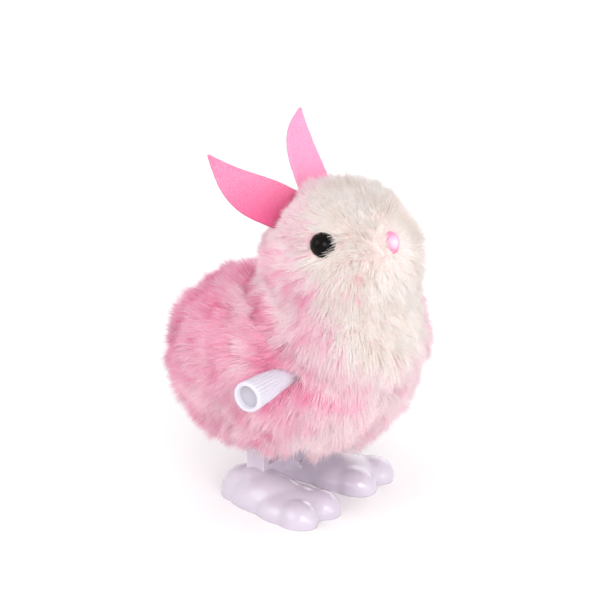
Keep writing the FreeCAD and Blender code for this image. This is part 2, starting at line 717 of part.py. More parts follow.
def make_soft_body():
    """The furred pelt and the wadding between it and the motor, open underneath."""
    fur = ball("body_fur", "fur_half_width", "fur_half_length", "fur_half_height", "0",
               "body_y", "body_z")
    skin = ball("body_skin", "skin_half_width", "skin_half_length", "skin_half_height", "0",
                "body_y", "skin_z")
    motor = case_solid("motor_room", "soft_gap", "case_half + soft_gap + screw_head_thick")
    legs = block("leg_room", "(0 - shaft_half - swing_side)", "cam_y - swing_front",
                 "swing_bottom", "2 * (shaft_half + swing_side)",
                 "pivot_y + swing_back - (cam_y - swing_front)", "cam_z + swing_top - swing_bottom")
    knob = rod("knob_room", "knob_end_radius + knob_room_gap", "knob_room_length",
               "(0 - knob_room_reach)", "arbor_y", "arbor_z")
    below = block("belly_opening", "(0 - opening_half_width)", "(0 - opening_front)", "0",
                  "2 * opening_half_width", "opening_length", "opening_top")
    pelt = cut("pelt_cut", fur, [skin, motor, legs, knob, below])
    subpart(pelt, "body_pelt")
    fill = ball("body_fill", "skin_half_width - soft_gap", "skin_half_length - soft_gap",
                "skin_half_height - soft_gap", "0", "body_y", "skin_z")
    subpart(cut("fill_cut", fill, [motor, legs, knob, below]), "body_stuffing")
    gap = "soft_gap / 2"
    return ball("body_space", f"fur_half_width + {gap}", f"fur_half_length + {gap}",
                f"fur_half_height + {gap}", "0", "body_y", "body_z")


# ---------------------------------------------------------------- the whole toy


def check_document():
    for thing in DOC.Objects:
        bad = {"Invalid", "Error"} & set(thing.State)
        assert not bad, f"{thing.Name} is {bad}"
    for thing in subparts:
        assert not thing.Shape.isNull(), f"{thing.Label} is empty"
        assert thing.Shape.isValid(), f"{thing.Label} is not valid"
        assert thing.Shape.Solids, f"{thing.Label} has no solid"


def export():
    os.makedirs("parts", exist_ok=True)
    for thing in subparts:
        thing.Shape.exportStep(f"parts/{thing.Label}.step")
        box = thing.Shape.optimalBoundingBox(True, False)
        low = f"{box.XMin:.2f} {box.YMin:.2f} {box.ZMin:.2f}"
        high = f"{box.XMax:.2f} {box.YMax:.2f} {box.ZMax:.2f}"
        count = len(thing.Shape.Solids)
        print(f"{thing.Label}: {count} solid(s), {thing.Shape.Volume:.1f} mm3, {low} to {high}")


def main():
    fill_sheet()
    make_knob()
    make_winder()
    make_clutch()
    make_cam_shaft()
    make_case()
    make_screws()
    make_mainspring()
    make_return_spring()
    make_legs()
    body_space = make_soft_body()
    ears = [make_ear(side, sign) for side, sign in SIDES]
    make_head(ears, body_space)
    DOC.recompute()
    check_document()
    export()


main()
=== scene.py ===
"""A plush wind-up rabbit: fur, felt ears, beads, knob and feet round the clockwork frame."""

import json
import math

import bmesh
import bpy
import numpy as np
from mathutils import Matrix, Vector
from mathutils.kdtree import KDTree


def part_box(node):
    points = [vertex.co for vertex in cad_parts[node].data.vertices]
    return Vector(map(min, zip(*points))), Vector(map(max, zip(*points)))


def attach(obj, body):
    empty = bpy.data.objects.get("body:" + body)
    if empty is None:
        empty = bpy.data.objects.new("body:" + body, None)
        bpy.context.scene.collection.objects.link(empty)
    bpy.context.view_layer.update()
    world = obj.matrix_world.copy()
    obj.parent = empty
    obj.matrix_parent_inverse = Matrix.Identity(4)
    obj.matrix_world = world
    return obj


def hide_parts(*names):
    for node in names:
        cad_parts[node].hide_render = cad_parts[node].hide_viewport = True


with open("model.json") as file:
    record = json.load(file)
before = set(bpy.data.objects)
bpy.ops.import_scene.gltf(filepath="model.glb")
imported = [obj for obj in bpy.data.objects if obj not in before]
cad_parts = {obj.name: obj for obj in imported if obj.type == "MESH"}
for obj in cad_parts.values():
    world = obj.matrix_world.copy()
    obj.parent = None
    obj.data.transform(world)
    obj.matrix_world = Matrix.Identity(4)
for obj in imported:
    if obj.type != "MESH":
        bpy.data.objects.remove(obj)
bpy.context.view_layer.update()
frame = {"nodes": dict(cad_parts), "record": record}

MM = 0.001
RIDES = "motor"  # the body that carries the case, the pelt and the head
SEED = 20260
rng = np.random.default_rng(SEED)


# ------------------------------------------------------------------ places, read from the frame


def box_mm(node):
    low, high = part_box(node)
    return np.array(low) / MM, np.array(high) / MM


def middle(node):
    low, high = box_mm(node)
    return (low + high) / 2


BAR = middle("leg_crossbar")
MID_X = BAR[0]
BODY_LOW, BODY_HIGH = box_mm("body_pelt")
HEAD_LOW, HEAD_HIGH = box_mm("head_pelt")
HEAD_REACH = (HEAD_HIGH[0] - HEAD_LOW[0]) / 2
HEAD = np.array([MID_X, (HEAD_LOW[1] + HEAD_HIGH[1]) / 2, HEAD_HIGH[2] - HEAD_REACH])
BODY_TOP_TO_MIDDLE = 19.6
BODY = np.array([MID_X, (BODY_LOW[1] + BODY_HIGH[1]) / 2, BODY_HIGH[2] - BODY_TOP_TO_MIDDLE])
NECK = np.array([MID_X, HEAD[1] + 1.0, 44.0])  # a point from which all of the skin is in sight
NOSE = middle("nose_bead")
EYES = [middle("right_eye"), middle("left_eye")]
EYE_RADIUS = 2.75
CASE_BACK = box_mm("motor_case_right")[1][1]
KNOB_LOW, KNOB_HIGH = box_mm("winding_knob")
KNOB = middle("winding_knob")
KNOB_END = (KNOB_HIGH[2] - KNOB_LOW[2]) / 2
KNOB_NECK = 2.1
LEG_LOW, LEG_HIGH = box_mm("left_leg")


# ------------------------------------------------------------------ small helpers


def linear(red, green, blue):
    """A colour given as sRGB from 0 to 255, as Blender's linear values."""
    out = []
    for level in (red, green, blue):
        share = level / 255
        out.append(share / 12.92 if share <= 0.04045 else ((share + 0.055) / 1.055) ** 2.4)
    return (*out, 1.0)


def unit(vectors):
    return vectors / np.maximum(np.linalg.norm(vectors, axis=-1, keepdims=True), 1e-9)


def smooth_step(low, high, x):
    share = np.clip((x - low) / (high - low), 0, 1)
    return share * share * (3 - 2 * share)


class Waves:
    """Smooth noise of about -1 to 1: a sum of seeded sine waves of roughly one length, in mm."""

    def __init__(self, length, seed, count=14):
        own = np.random.default_rng(seed)
        heading = unit(own.normal(size=(count, 3)))
        self.k = heading * (2 * math.pi / (length * own.uniform(0.65, 1.5, (count, 1))))
        self.phase = own.uniform(0, 2 * math.pi, count)
        self.scale = 1.5 / math.sqrt(count)

    def __call__(self, points):
        return np.sin(points @ self.k.T + self.phase).sum(-1) * self.scale


def ear_frame(side):
    """The ear's seam, tip direction and facing, from its CAD leaf's own corners."""
    node = frame["nodes"][f"{side}_ear_felt"]
    verts = np.array([v.co[:] for v in node.data.vertices]) / MM
    centre = verts.mean(0)
    _, _, axes = np.linalg.svd(verts - centre, full_matrices=False)
    along, across, facing = axes
    if along[2] < 0:
        along = -along
    if facing[1] > 0:
        facing = -facing
    across = np.cross(along, facing)
    reach = (verts - centre) @ along
    # The leaf points upwards, so the seam is its lower end.
    seam = centre + along * reach.min()
    return seam, along, across, facing, reach.max() - reach.min()


def new_object(name, mesh):
    made = bpy.data.objects.new(name, mesh)
    bpy.context.scene.collection.objects.link(made)
    return made


EAR_SEAMS = [ear_frame(side)[0] for side in ("right", "left")]


# ------------------------------------------------------------------ materials


def new_material(name):
    material = bpy.data.materials.new(name)
    material.use_nodes = True
    return material, material.node_tree, material.node_tree.nodes["Principled BSDF"]


def set_surface(shader, **values):
    for socket, value in values.items():
        shader.inputs[socket.replace("_", " ")].default_value = value


def hair_material(name, colour):
    """One shade of plush fibre: matt, with a faint painted glow for the light thin fibres pass."""
    material, _, shader = new_material(name)
    # Painted glow: the fibre gives out a little light of its own colour.
    set_surface(shader, Base_Color=colour, Roughness=0.85, Sheen_Weight=0.05, Sheen_Roughness=0.6,
                Specular_IOR_Level=0.1, Emission_Color=colour, Emission_Strength=0.06)
    return material


def add_noise(tree, scale, detail, stretch=None):
    """A noise over the piece's own coordinates, which may be stretched along each axis."""
    place = tree.nodes.new("ShaderNodeTexCoord").outputs["Object"]
    if stretch:
        mapping = tree.nodes.new("ShaderNodeMapping")
        mapping.inputs["Scale"].default_value = stretch
        tree.links.new(place, mapping.inputs["Vector"])
        place = mapping.outputs["Vector"]
    noise = tree.nodes.new("ShaderNodeTexNoise")
    noise.inputs["Scale"].default_value = scale
    noise.inputs["Detail"].default_value = detail
    tree.links.new(place, noise.inputs["Vector"])
    return noise.outputs["Fac"]


def share_of_height(tree, low, high):
    """0 below one height and 1 above another, both in mm."""
    split = tree.nodes.new("ShaderNodeSeparateXYZ")
    place = tree.nodes.new("ShaderNodeTexCoord").outputs["Object"]
    tree.links.new(place, split.inputs["Vector"])
    share = tree.nodes.new("ShaderNodeMapRange")
    share.inputs["From Min"].default_value = low * MM
    share.inputs["From Max"].default_value = high * MM
    tree.links.new(split.outputs["Z"], share.inputs["Value"])
    return share.outputs["Result"]


def noise_colour(tree, shader, scale, detail, stops):
    """Base colour from a noise through a ramp with two stops, each (position, colour)."""
    ramp = tree.nodes.new("ShaderNodeValToRGB")
    tree.links.new(add_noise(tree, scale, detail), ramp.inputs["Fac"])
    for element, (position, colour) in zip(ramp.color_ramp.elements, stops):
        element.position = position
        element.color = colour
    tree.links.new(ramp.outputs["Color"], shader.inputs["Base Color"])
    return ramp.outputs["Color"]


def blend_colours(tree, share, low, high):
    """A mix from low to high. Each is a colour or the output of another mix."""
    mix = tree.nodes.new("ShaderNodeMix")
    mix.data_type = "RGBA"
    tree.links.new(share, mix.inputs["Factor"])
    for number, colour in ((6, low), (7, high)):
        if isinstance(colour, tuple):
            mix.inputs[number].default_value = colour
        else:
            tree.links.new(colour, mix.inputs[number])
    return mix.outputs[2]


def add_bump(tree, shader, scale, detail, strength, distance, stretch=(1, 1, 1)):
    bump = tree.nodes.new("ShaderNodeBump")
    bump.inputs["Strength"].default_value = strength
    bump.inputs["Distance"].default_value = distance
    tree.links.new(add_noise(tree, scale, detail, stretch), bump.inputs["Height"])
    tree.links.new(bump.outputs["Normal"], shader.inputs["Normal"])


def vary_roughness(tree, shader, scale, low, high):
    span = tree.nodes.new("ShaderNodeMapRange")
    span.inputs["To Min"].default_value = low
    span.inputs["To Max"].default_value = high
    tree.links.new(add_noise(tree, scale, 4), span.inputs["Value"])
    tree.links.new(span.outputs["Result"], shader.inputs["Roughness"])


def plastic(name, shade, tint, rough, bump=0.02, coat=0.0, subsurface=0.0):
    """Moulded plastic with a faint cloudiness and a slightly uneven skin."""
    material, tree, shader = new_material(name)
    noise_colour(tree, shader, 160, 3, [(0.35, shade), (0.7, tint)])
    vary_roughness(tree, shader, 500, rough * 0.8, rough * 1.25)
    add_bump(tree, shader, 350, 3, bump, 0.0006)
    set_surface(shader, Coat_Weight=coat, Coat_Roughness=0.12)
    if subsurface:
        set_surface(shader, Subsurface_Weight=subsurface, Subsurface_Radius=(0.9, 0.8, 0.9),
                    Subsurface_Scale=0.0015)
    return material


def steel(name, shade, tint, rough):
    """Drawn steel with fine marks along X."""
    material, tree, shader = new_material(name)
    noise_colour(tree, shader, 900, 2, [(0.3, shade), (0.7, tint)])
    vary_roughness(tree, shader, 1500, rough * 0.7, rough * 1.4)
    add_bump(tree, shader, 4000, 2, 0.15, 0.0001, (0.05, 1, 1))
    set_surface(shader, Metallic=1.0)
    return material


def felt_material(name, light, deep, root=None):
    """Needle felt: matted fibres, cloudy colour, a soft nap, and maybe a darker sewn end."""
    material, tree, shader = new_material(name)
    cloudy = noise_colour(tree, shader, 3000, 8, [(0.28, deep), (0.72, light)])
    # The sewn end is darker: partly deeper felt and partly painted shade from the fur round the
    # ear's base.
    if root:
        height = share_of_height(tree, HEAD_HIGH[2] - 8.0, HEAD_HIGH[2] + 0.5)
        both = blend_colours(tree, height, root, cloudy)
        tree.links.new(both, shader.inputs["Base Color"])
    add_bump(tree, shader, 2600, 6, 0.5, 0.0003)
    set_surface(shader, Roughness=0.92, Sheen_Weight=0.08, Sheen_Roughness=0.5,
                Specular_IOR_Level=0.1)
    return material


PINKS = [
    (240, 108, 156),
    (248, 138, 178),
    (252, 162, 194),
    (254, 184, 209),
    (255, 203, 220),
    (255, 219, 229),
    (255, 231, 236),
]
CREAMS = [
    (238, 219, 211),
    (243, 229, 221),
    (247, 236, 230),
    (251, 243, 239),
]
HAIRS = [hair_material(f"plush_pink_{n}", linear(*c)) for n, c in enumerate(PINKS)]
HAIRS += [hair_material(f"plush_cream_{n}", linear(*c)) for n, c in enumerate(CREAMS)]
FIRST_CREAM = len(PINKS)


# ------------------------------------------------------------------ the shape under the fur


BODY_SKIN = np.array([20.0, 24.0, 14.2])
BODY_SKIN_AHEAD = 22.0  # the body is a little shorter in front of its middle
BODY_SKIN_Z = BODY[2] + 2.2
BELLY = np.array([MID_X, BODY[1] + 1.8, 27.5])
BELLY_SKIN = np.array([17.0, 20.0, 12.0])
BELLY_FULLNESS = 2.3
HEAD_SKIN = np.array([14.2, 14.8, 13.8])
HEAD_SKIN_CENTRE = HEAD - np.array([0.0, 0.8, 0.0])
CHEST = np.array([MID_X, HEAD[1] + 0.2, 43.4])
CHEST_SKIN = np.array([14.8, 15.8, 16.4])
BLEND = 2.5  # how softly the rounded shapes run into each other
NOSE_DIMPLE = 1.7
NOSE_DIMPLE_SPREAD = 12.0  # in square mm


def oval_distance(points, centre, half, power=2.0):
    """About the distance from an ellipsoid, or from a fuller one where power is over 2."""
    inside = np.abs(points - centre) / half
    length = np.maximum((inside**power).sum(-1), 1e-9) ** (1 / power)
    slope = np.linalg.norm(inside ** (power - 1) / half, axis=-1) * length ** (1 - power)
    return (length - 1) / np.maximum(slope, 1e-9)


def soft_union(a, b, radius):
    share = np.clip(0.5 + 0.5 * (b - a) / radius, 0, 1)
    return b * (1 - share) + a * share - radius * share * (1 - share)


def skin_distance(points):
    body_centre = np.array([BODY[0], BODY[1], BODY_SKIN_Z])
    body_half = np.broadcast_to(BODY_SKIN, points.shape).copy()
    body_half[..., 1] = np.where(points[..., 1] < BODY[1], BODY_SKIN_AHEAD, BODY_SKIN[1])
    body = oval_distance(points, body_centre, body_half)
    belly = oval_distance(points, BELLY, BELLY_SKIN, BELLY_FULLNESS)
    head = oval_distance(points, HEAD_SKIN_CENTRE, HEAD_SKIN)
    chest = oval_distance(points, CHEST, CHEST_SKIN)
    trunk = soft_union(body, belly, BLEND)
    from_nose = ((points - NOSE) ** 2).sum(-1)
    head = head + NOSE_DIMPLE * np.exp(-from_nose / NOSE_DIMPLE_SPREAD)
    return soft_union(soft_union(head, chest, BLEND), trunk, BLEND)


def skin_normal(points):
    step = 0.05
    slope = [
        skin_distance(points + step * axis) - skin_distance(points - step * axis)
        for axis in np.eye(3)
    ]
    return unit(np.stack(slope, -1))


def on_skin(points):
    """Points moved onto the skin."""
    for _ in range(3):
        points = points - skin_distance(points)[:, None] * skin_normal(points)
    return points


OUTSIDE = 60.0  # further from the neck than any of the skin
HALVINGS = 26


def cast_skin(directions):
    """How far the skin is from the neck along each direction."""
    near = np.zeros(len(directions))
    far = np.full(len(directions), OUTSIDE)
    for _ in range(HALVINGS):
        half = (near + far) / 2
        inside = skin_distance(NECK + directions * half[:, None]) < 0
        near = np.where(inside, half, near)
        far = np.where(inside, far, half)
    return near


# Room in the belly: beside the legs, in front of the crossbar, behind the case, and its height.
ROOM_BESIDE, ROOM_AHEAD, ROOM_BEHIND, ROOM_TOP = 1.6, 12.5, 1.2, 30.5


def belly_room():
    """The space under the body that the motor and the swinging legs need."""
    side = LEG_HIGH[0] - MID_X + ROOM_BESIDE
    low = np.array([MID_X - side, BAR[1] - ROOM_AHEAD, 0.0])
    high = np.array([MID_X + side, CASE_BACK + ROOM_BEHIND, ROOM_TOP])
    return low, high


def make_pelt():
    """The plush's backing and the felted roots of its pile, with the motor's room cut out."""
    ball = bmesh.new()
    bmesh.ops.create_icosphere(ball, subdivisions=6, radius=1)
    directions = unit(np.array([v.co[:] for v in ball.verts]))
    reach = cast_skin(directions)
    points = NECK + directions * reach[:, None]
    lumps = 0.25 * Waves(2.2, 5)(points) + 0.2 * Waves(0.9, 6)(points)
    points = points + skin_normal(points) * (0.5 + lumps)[:, None]
    for vert, point in zip(ball.verts, points):
        vert.co = point * MM
    mesh = bpy.data.meshes.new("plush_pelt")
    ball.to_mesh(mesh)
    ball.free()
    pelt = new_object("plush_pelt", mesh)
    low, high = belly_room()
    carve_box(pelt, low, high)
    pelt.data.shade_smooth()
    return pelt


def carve_box(piece, low, high):
    cutter_mesh = bpy.data.meshes.new("cutter")
    cutter = new_object("cutter", cutter_mesh)
    shape = bmesh.new()
    bmesh.ops.create_cube(shape, size=1)
    size = Matrix.Diagonal((*((high - low) * MM), 1))
    bmesh.ops.transform(shape, matrix=Matrix.Translation((low + high) / 2 * MM) @ size,
                        verts=shape.verts)
    shape.to_mesh(cutter_mesh)
    shape.free()
    modifier = piece.modifiers.new("carve", "BOOLEAN")
    modifier.operation = "DIFFERENCE"
    modifier.solver = "EXACT"
    modifier.object = cutter
    apply_modifiers(piece)
    bpy.data.objects.remove(cutter)
    bpy.data.meshes.remove(cutter_mesh)


def apply_modifiers(piece):
    depsgraph = bpy.context.evaluated_depsgraph_get()
    made = bpy.data.meshes.new_from_object(piece.evaluated_get(depsgraph))
    piece.modifiers.clear()
    old = piece.data
    piece.data = made
    bpy.data.meshes.remove(old)


def pelt_material():
    """Pink roots under the body's pile and pale ones under the head's."""
    material, tree, shader = new_material("plush_roots")
    cloud = add_noise(tree, 900, 5)
    body = blend_colours(tree, cloud, linear(240, 132, 172), linear(250, 178, 204))
    head = blend_colours(tree, cloud, linear(244, 206, 208), linear(250, 230, 224))
    both = blend_colours(tree, share_of_height(tree, 44, 54), body, head)
    tree.links.new(both, shader.inputs["Base Color"])
    set_surface(shader, Roughness=0.9, Sheen_Weight=0.3)
    return material


# ------------------------------------------------------------------ fur


LEAN_WAVES = [Waves(9.0, seed) for seed in (11, 12, 13)]
RUFFLE_WAVES = [Waves(3.0, seed) for seed in (21, 22, 23)]
LENGTH_WAVES = Waves(5.0, 31)
MOTTLE_WAVES = Waves(8.0, 41)
STREAK_WAVES = Waves(2.2, 42)
PARTING_SHADE_WAVES = Waves(5.0, 43)

LEAST_SLANT = 0.15
MOST_AREA = 1900.0  # in square mm for each unit of solid angle


def scatter(count):
    """Seeded random points all over the skin, with each point's normal."""
    found = []
    total = 0
    while total < count:
        directions = unit(rng.normal(size=(count, 3)))
        reach = cast_skin(directions)
        points = NECK + directions * reach[:, None]
        normals = skin_normal(points)
        # A direction from the neck covers more skin where the skin is further or slanted.
        area = reach**2 / np.maximum((normals * directions).sum(-1), LEAST_SLANT)
        kept = rng.uniform(0, 1, count) < area / MOST_AREA
        found.append(on_skin(points[kept]))
        total += kept.sum()
    points = np.concatenate(found)[:count]
    return points, skin_normal(points)


def share_of_head(points):
    """1 on the head and 0 on the body, with a soft seam round the neck."""
    return smooth_step(43.0, 50.0, points[:, 2] - 0.25 * (points[:, 1] - HEAD[1]))


def share_of_cream(points):
    """1 on the face, the crown and the bib, 0 on the body."""
    side = np.abs(points[:, 0] - MID_X)
    bib_lean = 5.0 * smooth_step(57.0, 48.0, points[:, 2])
    bib_side = np.abs(points[:, 0] - MID_X + bib_lean)
    ahead = HEAD[1] - points[:, 1]
    # Below the eye the pink reaches further forward: partly the cheek's pink fur, partly painted
    # shade under the eye.
    under_eye_pink_and_shade = 0.30 * np.clip(EYES[0][2] - 2.0 - points[:, 2], 0, None)
    # Low on the chest the pale patch lies to the rabbit's right of the middle.
    low_left = np.clip(points[:, 0] - MID_X - 1.5, 0, None) * smooth_step(55.0, 46.0, points[:, 2])
    face = smooth_step(-7.0, 1.5, ahead - 0.35 * side - 1.3 * under_eye_pink_and_shade - 1.7 * low_left)
    bib_half = np.interp(points[:, 2], [26, 36, 46, 56], [0.0, 3.0, 8.0, 14.0])
    bib = smooth_step(5.5, -4.0, bib_side - bib_half) * smooth_step(3.0, 10.0, ahead)
    height = smooth_step(32.0, 45.0, points[:, 2])
    head = share_of_head(points)
    return np.clip(head * face + (1 - head) * bib * height, 0, 1)


def comb_direction(points, normals):
    """The way the pile lies: away from the nose on the head, away from the throat elsewhere."""
    head = share_of_head(points)[:, None]
    throat = np.array([MID_X, HEAD[1] - 8.0, 52.0])
    away = unit(points - NOSE) * head + unit(points - throat) * (1 - head)
    ahead = HEAD[1] - points[:, 1]
    falls = smooth_step(-6.0, 4.0, ahead) * smooth_step(62.0, 54.0, points[:, 2])
    falls = falls * smooth_step(28.0, 38.0, points[:, 2])
    away = away + np.array([0, 0, -1.6]) * falls[:, None]
    wander = np.stack([waves(points) for waves in LEAN_WAVES], -1)
    away = away + (0.34 - 0.16 * falls)[:, None] * wander
    along = away - (away * normals).sum(-1, keepdims=True) * normals
    return unit(along)


def pile_length(points):
    """Length of the pile in mm: long on the body, short on the face."""
    head = share_of_head(points)
    side = np.abs(points[:, 0] - MID_X)
    ahead = HEAD[1] - points[:, 1]
    face = smooth_step(0.0, 8.0, ahead - 0.25 * side)
    on_head = 4.9 - 0.4 * face
    from_nose = np.linalg.norm(points - NOSE, axis=-1)
    from_ear = np.min([np.linalg.norm(points - seam, axis=-1) for seam in EAR_SEAMS], axis=0)
    on_head = on_head * (0.45 + 0.55 * smooth_step(2.5, 8.5, from_nose))
    on_head = on_head * (0.5 + 0.5 * smooth_step(3.5, 8.5, from_ear))
    fringe = smooth_step(22.0, 17.0, points[:, 2]) * smooth_step(-2.0, 6.0, ahead)
    on_body = 7.0 + 1.5 * fringe
    return (on_head * head + on_body * (1 - head)) * (1 + 0.07 * LENGTH_WAVES(points))


STRAY_SHARE = 0.03
STRAY_EXTRA = 1.13


def grow(points, normals, steps):
    """Curved strands as an array of strand, step and X, Y, Z."""
    count = len(points)
    along = comb_direction(points, normals)
    length = pile_length(points) * rng.uniform(0.80, 1.06, count)
    stray = rng.uniform(0, 1, count) < STRAY_SHARE
    length = np.where(stray, length * STRAY_EXTRA, length)
    head = share_of_head(points)
    lean = 0.34 + 0.16 * head + 0.12 * LEAN_WAVES[0](points * 1.3)
    ruffle = np.stack([waves(points) for waves in RUFFLE_WAVES], -1)
    jitter = rng.normal(scale=0.12, size=(count, 3))
    start = normals * np.cos(lean)[:, None] + along * np.sin(lean)[:, None]
    start = unit(start + 0.10 * ruffle + jitter)
    down = np.array([0, 0, -1.0])
    hang = smooth_step(27.0, 19.0, points[:, 2])
    bend = along * 0.45 + down * ((0.16 + 0.5 * hang) * (1 - head))[:, None]
    share = np.linspace(0, 1, steps)[None, :, None]
    reach = length[:, None, None]
    curl = 0.09 * np.stack([waves(points * 1.7 + 40) for waves in RUFFLE_WAVES], -1)
    curl = curl + rng.normal(scale=0.10, size=(count, 3))
    path = (
        points[:, None, :]
        + reach * share * start[:, None, :]
        + reach * share**2 * 0.42 * (bend + curl)[:, None, :]
    )
    # The bend lengthens a strand, so it is brought back to its length.
    real = np.linalg.norm(np.diff(path, axis=1), axis=-1).sum(-1)
    return points[:, None, :] + (path - points[:, None, :]) * (length / real)[:, None, None]


def gather(path, guides, guide_path, strength):
    """Pulls each strand's tip towards the nearest guide strand, as pile clumps."""
    tree = KDTree(len(guides))
    for number, point in enumerate(guides):
        tree.insert(point, number)
    tree.balance()
    near = np.array([tree.find(point)[1] for point in path[:, 0, :]])
    share = np.linspace(0, 1, path.shape[1])[None, :, None]
    pull = strength[:, None, None] * share**1.5
    return path + (guide_path[near] - path) * pull


KNOB_ROOM = 0.15  # between the knob and the strands beside it
LEG_ROOM = 0.5  # round the legs and the belly's room
LEG_ROOM_TOP = 24
LOWEST_STRAND = 8.6


def keep_clear(path):
    """Moves strands off the knob and drops those that would cover a bead or meet the legs."""
    # Off the knob, which turns.
    inward = path[..., 0] - KNOB_LOW[0]
    share = np.clip(inward / (KNOB_HIGH[0] - KNOB_LOW[0]), 0, 1)
    radius = KNOB_END + (KNOB_NECK - KNOB_END) * share + KNOB_ROOM
    off = path[..., 1:] - KNOB[1:]
    gap = np.linalg.norm(off, axis=-1)
    beside = (path[..., 0] < KNOB_HIGH[0] + 1) & (gap < radius)
    pushed = KNOB[1:] + off / np.maximum(gap, 1e-6)[..., None] * radius[..., None]
    path[..., 1:] = np.where(beside[..., None], pushed, path[..., 1:])
    keep = ~(beside[:, 0] | beside[:, 1])
    # Out of the beads' faces.
    for bead in EYES:
        outward = unit(bead - HEAD)
        reach = (path - bead) @ outward
        radial = np.linalg.norm(path - bead - reach[..., None] * outward, axis=-1)
        inside = np.linalg.norm(path - bead, axis=-1) < EYE_RADIUS - 0.3
        keep &= ~(((radial < EYE_RADIUS * 0.66) & (reach > -1.0)) | inside).any(-1)
    outward = unit(NOSE - HEAD)
    reach = (path - NOSE) @ outward
    radial = np.linalg.norm((path - NOSE - reach[..., None] * outward) / [1.6, 1.6, 2.2], axis=-1)
    keep &= ~((radial < 1.1) & (reach > -1.2)).any(-1)
    # Clear of the swinging legs and of the feet.
    low, high = belly_room()
    root = path[:, 0, :]
    keep &= ~((root > low - LEG_ROOM) & (root < high + LEG_ROOM)).all(-1)
    side = np.abs(path[..., 0] - MID_X)
    legs = (side > LEG_LOW[0] - MID_X - LEG_ROOM) & (side < LEG_HIGH[0] - MID_X + LEG_ROOM)
    legs &= (path[..., 1] > LEG_LOW[1] - LEG_ROOM) & (path[..., 1] < LEG_HIGH[1] + LEG_ROOM)
    keep &= ~(legs & (path[..., 2] < LEG_ROOM_TOP)).any(-1)
    keep &= path[..., 2].min(-1) > LOWEST_STRAND
    return path, keep


def under_eye_parting_shade(points):
    """0 to 1: painted shade along thin partings that fan out from under each eye, down and back.
    """
    side = np.abs(points[:, 0] - MID_X)
    back = points[:, 1] - EYES[0][1]
    down = EYES[0][2] - 1.0 - points[:, 2]
    reach = np.hypot(back, down)
    fan = np.arctan2(back, down)
    rays = smooth_step(0.2, 0.9, np.sin(fan * 17.0 + 1.6 * MOTTLE_WAVES(points)))
    rays = rays * smooth_step(2.5, 6.0, reach) * smooth_step(19.0, 9.0, reach)
    return rays * smooth_step(1.0, 4.0, down) * smooth_step(6.5, 10.0, side)


def shades(points, steps):
    """Which hair material each strand takes from root to tip."""
    count = len(points)
    head = share_of_head(points)
    cream = share_of_cream(points)
    # Painted shade: along the partings under the eyes, cream turns pink and every shade turns
    # darker.
    rays = under_eye_parting_shade(points)
    cream = cream + 0.16 * STREAK_WAVES(points) + rng.normal(scale=0.16, size=count)
    cream = cream - 0.45 * rays
    is_cream = cream > 0.5
    back = smooth_step(-16, 18, points[:, 1] - BODY[1])
    top = smooth_step(26, 42, points[:, 2]) * (1 - head)
    # Painted shade: random deeper pink patches on the body stand for the shade in the pile's
    # partings.
    parting_shade = smooth_step(0.85, 1.5, PARTING_SHADE_WAVES(points)) * (1 - head)
    # Painted shade: deeper pink in the crease behind the neck, where the head meets the body.
    seam = smooth_step(0.0, 0.3, head) * smooth_step(0.75, 0.35, head)
    seam = seam * smooth_step(-6.0, 4.0, points[:, 1] - HEAD[1])
    # Painted shade: deeper pink in the fur round the knob's inner end, where it enters the pile.
    inner_end = np.array([KNOB_HIGH[0] - 3.0, KNOB[1], KNOB[2]])
    knob_root_shade = smooth_step(9.0, 4.0, np.linalg.norm(points - inner_end, axis=-1))
    fringe = smooth_step(24.0, 17.0, points[:, 2]) * (1 - back)
    front = smooth_step(4.0, 20.0, BODY[1] - points[:, 1]) * (1 - head)
    depth = 4.2 - 1.4 * back - 0.5 * top - 1.6 * parting_shade - 1.5 * seam - 1.0 * knob_root_shade
    near_bib = smooth_step(15.0, 6.0, np.abs(points[:, 0] - MID_X + 3.5))
    near_bib = near_bib * smooth_step(6.0, 12.0, HEAD[1] - points[:, 1])
    depth = depth + 0.9 * fringe + 0.6 * front + 0.8 * near_bib * (1 - head)
    depth = depth + 0.45 * MOTTLE_WAVES(points) + 0.35 * STREAK_WAVES(points * 1.2)
    depth = depth + 0.7 * head - 2.0 * rays
    depth = depth + rng.normal(scale=0.5, size=count)
    light = 1.9 + 0.4 * MOTTLE_WAVES(points * 1.4) + rng.normal(scale=0.5, size=count)
    light = light - 1.6 * rays
    step = np.linspace(-0.7, 0.6, steps - 1)[None, :]
    pink = np.clip(np.round(depth[:, None] + step), 0, len(PINKS) - 1)
    pale = np.clip(np.round(light[:, None] + step), 0, len(CREAMS) - 1) + FIRST_CREAM
    return np.where(is_cream[:, None], pale, pink).astype(np.int32)


